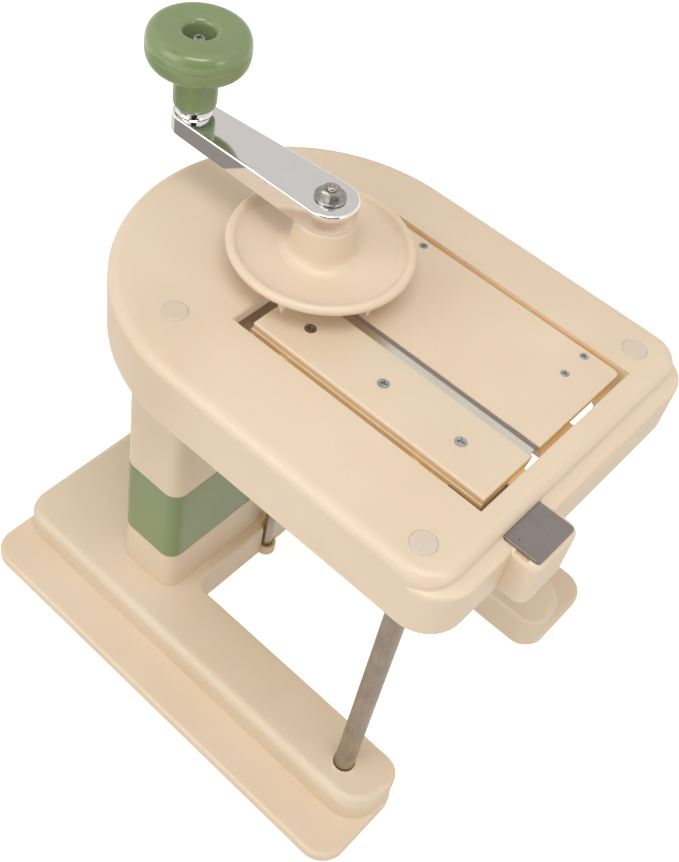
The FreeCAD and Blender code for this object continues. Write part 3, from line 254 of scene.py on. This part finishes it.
def clear_plug():
    """Low density polyethylene, moulded: milky, a little see-through, waxy, a touch cooler than the table."""
    mat, t = new_material("polyethylene_milky")
    place = add(t, "ShaderNodeTexCoord").outputs["Object"]
    # waxy clouds, 4 mm across
    cloud = add(t, "ShaderNodeTexNoise", {
        "Vector": place, "Scale": per_mm(4.0), "Detail": 3.0, "Roughness": 0.55})
    tone = add(t, "ShaderNodeMix", {
        "Factor": cloud.outputs["Fac"], "A": colour("#E6D7C8"), "B": colour("#EDE1D3")}, data_type="RGBA")
    gloss = add(t, "ShaderNodeMapRange", {"Value": cloud.outputs["Fac"], "To Min": 0.24, "To Max": 0.42})
    wax = add(t, "ShaderNodeBump", {
        "Strength": 0.4, "Distance": 0.06 * MM, "Height": cloud.outputs["Fac"]})
    shader = add(t, "ShaderNodeBsdfPrincipled", {
        "Base Color": tone.outputs["Result"], "Roughness": gloss.outputs["Result"], "IOR": 1.51,
        "Transmission Weight": 0.12, "Subsurface Weight": 0.35, "Subsurface Radius": (3.0, 2.6, 2.2),
        "Subsurface Scale": MM, "Normal": wax.outputs["Normal"]})
    add(t, "ShaderNodeOutputMaterial", {"Surface": shader.outputs["BSDF"]})
    return mat


def foot_rubber():
    """Compression moulded nitrile rubber pads: dull charcoal with a fine blasted grain and pale dust."""
    mat, t = new_material("nitrile_rubber_moulded")
    place = add(t, "ShaderNodeTexCoord").outputs["Object"]
    # dust in patches 3 mm across
    dust = add(t, "ShaderNodeTexNoise", {
        "Vector": place, "Scale": per_mm(3.0), "Detail": 5.0, "Roughness": 0.7})
    tone = add(t, "ShaderNodeMix", {
        "Factor": dust.outputs["Fac"], "A": colour("#2B2A29"), "B": colour("#3E3C3A")}, data_type="RGBA")
    # the blasted tool's grain, 0.4 mm
    grain = add(t, "ShaderNodeTexNoise", {"Vector": place, "Scale": per_mm(0.4), "Detail": 2.0})
    bump = add(t, "ShaderNodeBump", {
        "Strength": 0.6, "Distance": 0.04 * MM, "Height": grain.outputs["Fac"]})
    shader = add(t, "ShaderNodeBsdfPrincipled", {
        "Base Color": tone.outputs["Result"], "Roughness": 0.82, "IOR": 1.52,
        "Normal": bump.outputs["Normal"]})
    add(t, "ShaderNodeOutputMaterial", {"Surface": shader.outputs["BSDF"]})
    return mat


finishes = {
    # table, base, plates and disc: satin cream, with painted warm shade and a faint painted glow in its gaps
    "cream_abs": moulded_abs("abs_cream_moulded", "#EBDBC7", "#E7D6BF", rough=0.38, bleed=0.32,
                             reach=(5.0, 3.0, 1.3), peel_depth=0.05, painted_gap_colour="#E2B867"),
    # knob and column band: sage green, glossier and more opaque
    "green_abs": moulded_abs("abs_sage_moulded", "#85996B", "#809466", rough=0.19, bleed=0.08,
                             reach=(2.0, 2.0, 0.8), peel_depth=0.03),
    # the spindle's bush: natural nylon, which is milky and waxy
    "bush_nylon": moulded_abs("nylon_natural_moulded", "#E9E3D6", "#DED6C6", rough=0.42, bleed=0.3,
                              reach=(3.0, 2.5, 2.0), peel_depth=0.02),
    "rubber": foot_rubber(),
    "clear_plug": clear_plug(),
    "chrome_plate": chrome_plate(),
    # stainless knife strip, surface ground across its width
    "blade_steel": lined_metal("stainless_ground", "#D8D0C4", "#CAC1B5", rough=0.30, along="X", pitch=0.35,
                               depth=0.004, bevel=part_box("blade")[1].x - BLADE_BEVEL),
    # stainless round bar, drawn, so its lines run along it
    "rod_steel": lined_metal("stainless_drawn", "#B3A89E", "#988C81", rough=0.30, along="Z", pitch=0.5,
                             depth=0.010),
    # rolled spring strip, dull grey
    "strip_steel": lined_metal("steel_strip_rolled", "#928986", "#857C78", rough=0.36, along="Y", pitch=0.6,
                               depth=0.003, spread=0.06),
    "bright_zinc": bright_zinc(),
}
slot_of = {s["node"]: s["material_slot"] for s in frame["record"]["subparts"]}
for node_name, node_object in frame["nodes"].items():
    node_object.material_slots[0].material = finishes[slot_of[node_name]]


# ---- turned surfaces ---------------------------------------------------------------------------------
def arc(centre_r, centre_z, radius, start, end, steps):
    """Points of an arc in the (radius, height) plane: centre plus radius times its angle's cosine and sine.

    The angles run from start to end, in degrees.
    """
    a = np.radians(np.linspace(start, end, steps))
    return np.stack([centre_r + radius * np.cos(a), centre_z + radius * np.sin(a)], 1)


def solid_on_left(profile):
    """The closed profile run the way that keeps the solid on its left, by the sign of the area inside it."""
    r, z = profile[:, 0], profile[:, 1]
    area = 0.5 * np.sum(r * np.roll(z, -1) - np.roll(r, -1) * z)
    return profile if area > 0 else profile[::-1]


def round_axis(x, y, radius, height, angle):
    """Points in metres round the upright axis through (x, y), all given in millimetres.

    A point at angle a is (x + radius cos a, y + radius sin a, height).
    """
    points = np.stack([x + radius * np.cos(angle), y + radius * np.sin(angle), height + 0.0 * angle], -1)
    return points.reshape(-1, 3) * MM


def grid_faces(rows, columns, wrap_rows):
    """Quads of a grid that is closed round its columns, and round its rows too if wrap_rows is true."""
    i = np.arange(rows if wrap_rows else rows - 1)[:, None]
    j = np.arange(columns)[None, :]
    i2, j2 = (i + 1) % rows, (j + 1) % columns
    quads = np.stack([i * columns + j2, i2 * columns + j2, i2 * columns + j, i * columns + j], -1)
    return quads.reshape(-1, 4)


def bar_faces(rows, columns):
    """Quads round the side of a bar, and one many-sided face that closes each of its ends."""
    ring = np.arange(columns)
    return [*grid_faces(rows, columns, False), ring, (rows - 1) * columns + ring[::-1]]


def turned(profile, x, y, columns):
    """A closed (radius, height) profile in millimetres carried round the upright axis through (x, y).

    The profile runs with the solid on its left, so the faces look outwards. Returns points in metres, and
    quads.
    """
    angle = np.linspace(0.0, 2.0 * np.pi, columns, endpoint=False)
    points = round_axis(x, y, profile[:, 0][:, None], profile[:, 1][:, None], angle)
    return points, grid_faces(len(profile), columns, True)


def axis_of(node):
    """The upright axis of a round node, in millimetres: the middle of its box."""
    lo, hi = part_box(node)
    return (lo.x + hi.x) / 2 / MM, (lo.y + hi.y) / 2 / MM


def make_piece(name, points, faces, body, node, slot, sharp=38.0):
    """Puts points (metres) and faces into a mesh, smooth but for edges over sharp degrees, and rides it."""
    mesh = bpy.data.meshes.new(name)
    mesh.from_pydata(points.tolist(), [], [f.tolist() for f in faces])
    mesh.validate()
    mesh.shade_smooth()
    mesh.set_sharp_from_angle(angle=math.radians(sharp))
    piece = bpy.data.objects.new(name, mesh)
    bpy.context.scene.collection.objects.link(piece)
    piece.data.materials.append(finishes[slot])
    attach(piece, body)
    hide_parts(node)


# ---- the three new pieces ----------------------------------------------------------------------------
def knob_grip():
    """The turning knob: one profile round its own screw.

    The outside is a squared oval, |cos a| and |sin a| each to the power 2 / 2.7, between the underside and
    the top. A seam 0.25 mm deep runs round the middle, as a bell curve taken off the radius. The top dips a
    little and rolls over a quarter circle of 4 mm into the recess, where a moat 5 mm deep runs round the post
    under the screw's head.
    """
    x, y = axis_of("knob")
    lo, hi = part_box("knob")
    foot, top, outer = lo.z / MM, hi.z / MM, (hi.x - lo.x) / 2 / MM
    # the oval: how far it rises above its widest part and falls below it, its inner radius, and its power
    above, below, inner, power = 10.4, 11.3, 22.0, 2.7
    widest = top - above
    # radii of the neck, the recess's wall, the screw's bore and the roll into the recess, and the post's top
    neck_r, wall, bore, roll, post = 12.9, 8.9, 3.05, 4.0, widest + 1.4
    # the seam's depth, the spread of its bell curve, and how far above and below it extra rows run
    seam_depth, seam_spread, seam_reach = 0.25, 0.22, 1.2

    neck = np.array([(bore, foot), (neck_r - 1.6, foot), (neck_r - 1.0, foot + 0.2),
                     (neck_r - 0.5, foot + 0.7), (neck_r - 0.2, foot + 1.6), (neck_r - 0.05, foot + 3.0),
                     (neck_r, widest - 18.0)])
    root = arc(neck_r + 2.8, widest - below - 2.8, 2.8, 180.0, 100.0, 12)
    a = np.radians(np.linspace(-90.0, 90.0, 121))
    c = np.abs(np.cos(a)) ** (2.0 / power)
    s = np.sign(np.sin(a)) * np.abs(np.sin(a)) ** (2.0 / power)
    oval = np.stack([inner + (outer - inner) * c, widest + np.where(s >= 0, above, below) * s], 1)
    rise = np.linspace(-seam_reach, seam_reach, 25)
    part = 1.0 - np.abs(rise / np.where(rise >= 0, above, below)) ** power
    seam_r = inner + (outer - inner) * part ** (1.0 / power)
    seam_r = seam_r - seam_depth * np.exp(-((rise / seam_spread) ** 2))
    # the seam's rows take the place of the oval's own there, a twentieth of a millimetre beyond them
    clear = np.abs(oval[:, 1] - widest) > seam_reach + 0.05
    side = np.concatenate([oval[clear & (oval[:, 1] < widest)], np.stack([seam_r, widest + rise], 1),
                           oval[clear & (oval[:, 1] >= widest)]])
    dip = np.array([(20.0, top - 0.01), (18.0, top - 0.04), (16.0, top - 0.1), (14.5, top - 0.16)])
    lip = arc(wall + roll, top - 0.2 - roll, roll, 80.0, 180.0, 18)
    moat = post - 5.0
    floor = np.array([(wall - 0.3, moat + 1.6), (wall - 0.8, moat + 0.4), (wall - 1.5, moat), (5.3, moat),
                      (4.7, moat + 0.6), (4.5, post), (bore, post)])
    profile = solid_on_left(np.concatenate([neck, root, side, dip, lip, floor]))
    points, faces = turned(profile, x, y, KNOB_COLUMNS)
    make_piece("knob_grip", points, faces, "knob", "knob", "green_abs")


def tooth(x, y, radius, angle, top, length, width):
    """A holding tooth under the disc, at a radius and angle from the axis (x, y), drawn to a blunt point.

    With t from 0 at the disc to 1 at the tip, the half width is half the width times (1 - t) to the power
    1.35, plus 0.35 t, so both edges curve in; the half thickness falls with the square of t. The section is a
    squared oval, |cos u| and |sin u| each to the power 0.6.
    """
    rows, columns = 16, 24
    t = np.linspace(0.0, 1.0, rows)[:, None]
    u = np.linspace(0.0, 2.0 * np.pi, columns, endpoint=False)[None, :]
    half_width = (width / 2) * (1.0 - t) ** 1.35 + 0.35 * t
    half_thick = 1.1 * (1.0 - 0.72 * t**2)
    along = half_thick * np.sign(np.cos(u)) * np.abs(np.cos(u)) ** 0.6
    across = half_width * np.sign(np.sin(u)) * np.abs(np.sin(u)) ** 0.6
    a = math.radians(angle)
    px = x + (radius + along) * math.cos(a) - across * math.sin(a)
    py = y + (radius + along) * math.sin(a) + across * math.cos(a)
    points = np.stack([px, py, top - length * t + 0.0 * u], -1).reshape(-1, 3)
    return points * MM, bar_faces(rows, columns)


def holding_disc():
    """The pronged disc: one profile round the spindle with a rolled bead, and nine teeth under it.

    The dish sweeps up into the hub on a quarter circle of 7.6 mm.
    """
    x, y = axis_of("spindle")
    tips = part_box("holding_disc")[0].z / MM
    hub_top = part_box("crank_arm")[0].z / MM
    # the plate's underside is 7.5 mm above the tips of the teeth, and the middle of the bead 6 mm above that
    under, bore = tips + 7.5, 4.05
    rim = under + 6.0
    plate = np.array([(bore, under), (30.0, under), (45.4, under), (46.6, under + 0.15),
                      (51.0, rim - 4.1)])
    bead = arc(52.2, rim, 3.0, -72.0, 128.0, 28)
    dish = np.array([(49.7, rim + 1.25), (49.0, rim + 0.3), (48.2, rim - 0.6), (47.2, rim - 1.25),
                     (45.5, rim - 1.75), (42.0, rim - 2.05), (38.0, rim - 2.3), (32.0, rim - 2.55),
                     (28.5, rim - 2.65)])
    sweep = arc(26.6, rim + 4.9, 7.6, 262.0, 187.0, 20)
    hub = np.array([(18.3, hub_top - 10.0), (17.6, hub_top - 3.0), (17.4, hub_top - 0.9),
                    (17.1, hub_top - 0.3), (16.5, hub_top), (bore, hub_top)])
    profile = solid_on_left(np.concatenate([plate, bead, dish, sweep, hub]))
    points, faces = turned(profile, x, y, DISC_COLUMNS)
    points, faces = [points], list(faces)
    count = len(points[0])
    # radius, angle and width of six teeth near the rim and three round the hub, each sunk 1 mm into the plate
    outer_ring = [(48.5, 16.5 + 60.0 * i, 8.2) for i in range(6)]
    inner_ring = [(26.0, 46.5 + 120.0 * i, 7.4) for i in range(3)]
    for radius, angle, width in outer_ring + inner_ring:
        tooth_points, tooth_faces = tooth(x, y, radius, angle, under + 1.0, under + 1.0 - tips, width)
        points.append(tooth_points)
        faces += [f + count for f in tooth_faces]
        count += len(tooth_points)
    make_piece("holding_disc_turned", np.concatenate(points), faces, "crank", "holding_disc", "cream_abs",
               sharp=50.0)


def threaded_spindle():
    """The spindle: a plain ground shaft whose top has a 1 mm pitch thread up to a chamfered, drilled end.

    On the thread the radius at height z and angle a is the crest less a triangle wave of
    z / pitch - a / (2 pi).
    """
    x, y = axis_of("spindle")
    lo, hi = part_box("spindle")
    foot, top = lo.z / MM, hi.z / MM
    shoulder, thread_top = top - 7.82, top - 0.75
    # radii of the shaft, of the thread's crest, and of the point that closes each end of the profile
    shaft, crest, centre = 4.0, 3.0, 0.02
    pitch, depth, thread_rows = 1.0, 0.5, 120
    plain = np.array([(centre, foot), (2.6, foot), (3.2, foot + 0.6), (shaft, foot + 1.4),
                      (shaft, shoulder - 0.3), (3.8, shoulder), (3.05, shoulder)])
    turns = np.stack([np.full(thread_rows, crest), np.linspace(shoulder + 0.05, thread_top, thread_rows)], 1)
    end = np.array([(2.35, top - 0.12), (2.1, top), (0.95, top), (0.8, top - 0.2), (centre, top - 1.0)])
    profile = np.concatenate([plain, turns, end])
    a = np.linspace(0.0, 2.0 * np.pi, SPINDLE_COLUMNS, endpoint=False)[None, :]
    r, z = profile[:, 0][:, None], profile[:, 1][:, None]
    phase = (z / pitch - a / (2.0 * np.pi)) % 1.0
    groove = depth * (1.0 - np.abs(2.0 * phase - 1.0))
    on_thread = np.zeros((len(profile), 1))
    on_thread[len(plain) : len(plain) + thread_rows] = 1.0
    # the last half millimetre runs out to a third of the depth
    fade = np.clip((thread_top - z) / 0.5, 0.3, 1.0)
    points = round_axis(x, y, r - on_thread * groove * fade, z, a)
    faces = bar_faces(len(profile), SPINDLE_COLUMNS)
    make_piece("spindle_threaded", points, faces, "spindle", "spindle", "rod_steel", sharp=40.0)


knob_grip()
holding_disc()
threaded_spindle()


# ---- studio ------------------------------------------------------------------------------------------
def seen_directly(tree):
    """1 for camera, glossy and transmission rays, 0 for the rest."""
    path = add(tree, "ShaderNodeLightPath")
    total = add(tree, "ShaderNodeMath", {
        0: path.outputs["Is Camera Ray"], 1: path.outputs["Is Glossy Ray"]}, operation="ADD")
    return add(tree, "ShaderNodeMath", {
        0: total.outputs["Value"], 1: path.outputs["Is Transmission Ray"]},
        operation="ADD", use_clamp=True).outputs["Value"]


def studio_floor():
    """A plain white floor. What is seen of it is lifted to white, and the object's shadow stays on it."""
    mesh = bpy.data.meshes.new("floor")
    half = 6.0
    mesh.from_pydata([(-half, -half, 0.0), (half, -half, 0.0), (half, half, 0.0), (-half, half, 0.0)], [],
                     [(0, 1, 2, 3)])
    floor = bpy.data.objects.new("floor", mesh)
    bpy.context.scene.collection.objects.link(floor)
    mat, t = new_material("floor_white_matt")
    matt = add(t, "ShaderNodeBsdfDiffuse", {"Color": colour("#F1F0EF")})
    lift = add(t, "ShaderNodeMath", {0: seen_directly(t), 1: 0.68}, operation="MULTIPLY")
    glow = add(t, "ShaderNodeEmission", {"Color": (1.0, 1.0, 1.0, 1.0), "Strength": lift.outputs["Value"]})
    both = add(t, "ShaderNodeAddShader", {0: matt.outputs["BSDF"], 1: glow.outputs["Emission"]})
    add(t, "ShaderNodeOutputMaterial", {"Surface": both.outputs["Shader"]})
    mesh.materials.append(mat)


def soft_box(name, place, aim, width, height, power):
    """A rectangular soft light at place, turned to face aim."""
    lamp = bpy.data.lights.new(name, "AREA")
    lamp.shape, lamp.size, lamp.size_y, lamp.energy = "RECTANGLE", width, height, power
    box = bpy.data.objects.new(name, lamp)
    bpy.context.scene.collection.objects.link(box)
    box.location = place
    box.rotation_euler = (Vector(aim) - Vector(place)).to_track_quat("-Z", "Y").to_euler()


def studio_card(name, corners, tone):
    """A flat studio card between four corners, seen by mirrors only, of an even tone."""
    mesh = bpy.data.meshes.new(name)
    mesh.from_pydata(corners, [], [(0, 1, 2, 3)])
    card = bpy.data.objects.new(name, mesh)
    bpy.context.scene.collection.objects.link(card)
    mat, t = new_material("paper_of_" + name)
    even = add(t, "ShaderNodeEmission", {"Color": colour(tone), "Strength": 1.0})
    add(t, "ShaderNodeOutputMaterial", {"Surface": even.outputs["Emission"]})
    mesh.materials.append(mat)
    card.visible_camera = card.visible_diffuse = card.visible_shadow = False


def lying(x0, x1, y0, y1, z):
    """Corners of a level sheet."""
    return [(x0, y0, z), (x1, y0, z), (x1, y1, z), (x0, y1, z)]


def standing(start, end, z0, z1):
    """Corners of an upright sheet over the line from start to end on the floor."""
    return [(*start, z0), (*end, z0), (*end, z1), (*start, z1)]


def studio_cards():
    """Cards and flags round the object, so that chrome and gloss have something beside white to show."""
    # the table top round the machine, and a grey sheet beyond its left side for the flank of the arm
    studio_card("table_card", lying(-0.75, 0.75, -0.75, 0.75, 0.001), "#EDE6DD")
    studio_card("left_card", lying(-0.62, -0.165, 0.15, 0.75, 0.002), "#9B9691")
    # a pale grey card high at the back right is what the flat of the arm mirrors
    studio_card("back_card", standing((0.82, 1.37), (1.5, 0.55), 1.0, 2.0), "#D9D7D6")
    # a flag at the front left keeps the glare off whatever faces it
    studio_card("camera_flag", standing((-1.75, -0.35), (-0.3, -1.75), 0.02, 1.6), "#242220")
    # a flag overhead, between the boom and the left light, draws a dark line inside each bright rim
    studio_card("ceiling_flag", lying(-1.0, 0.2, 0.45, 0.95, 1.9), "#2A2826")


def studio_world():
    """Even pale surroundings: white where seen, and a plain soft warm level where they light the object."""
    world = bpy.data.worlds.new("studio")
    bpy.context.scene.world = world
    world.use_nodes = True
    t = world.node_tree
    t.nodes.clear()
    level = add(t, "ShaderNodeMapRange", {"Value": seen_directly(t), "To Min": 0.5, "To Max": 1.0})
    hue = add(t, "ShaderNodeMix", {
        "Factor": seen_directly(t), "A": colour("#FFF3E2"), "B": colour("#FFFFFF")}, data_type="RGBA")
    back = add(t, "ShaderNodeBackground", {
        "Color": hue.outputs["Result"], "Strength": level.outputs["Result"]})
    add(t, "ShaderNodeOutputWorld", {"Surface": back.outputs["Background"]})


def studio_camera():
    """A 51 mm lens (36 mm sensor on the long side) above the front left, rolled a little."""
    data = bpy.data.cameras.new("camera")
    data.sensor_width, data.lens = 36.0, 51.3235
    data.shift_x, data.shift_y = 0.046301, -0.026932
    data.clip_start, data.clip_end = 0.05, 30.0
    camera = bpy.data.objects.new("camera", data)
    bpy.context.scene.collection.objects.link(camera)
    camera.location = (-0.433355, -0.264393, 0.782961)
    camera.rotation_euler = (0.700922, -0.124254, -0.826198)
    bpy.context.scene.camera = camera


studio_floor()
studio_world()
studio_cards()
# a wide box over the camera, a large one low on the left and a small one low at the front
LIT_POINT = (0.0, 0.0, 0.3)
soft_box("boom_light", (-0.533, -0.373, 1.762), LIT_POINT, 0.95, 0.5, 10.0)
soft_box("left_light", (-1.331, 0.511, 1.026), LIT_POINT, 1.0, 1.0, 6.4)
soft_box("front_light", (0.0, -1.483, 0.899), LIT_POINT, 0.45, 0.45, 2.6)
studio_camera()
bpy.context.scene.view_settings.view_transform = "Standard"

bpy.context.view_layer.update()
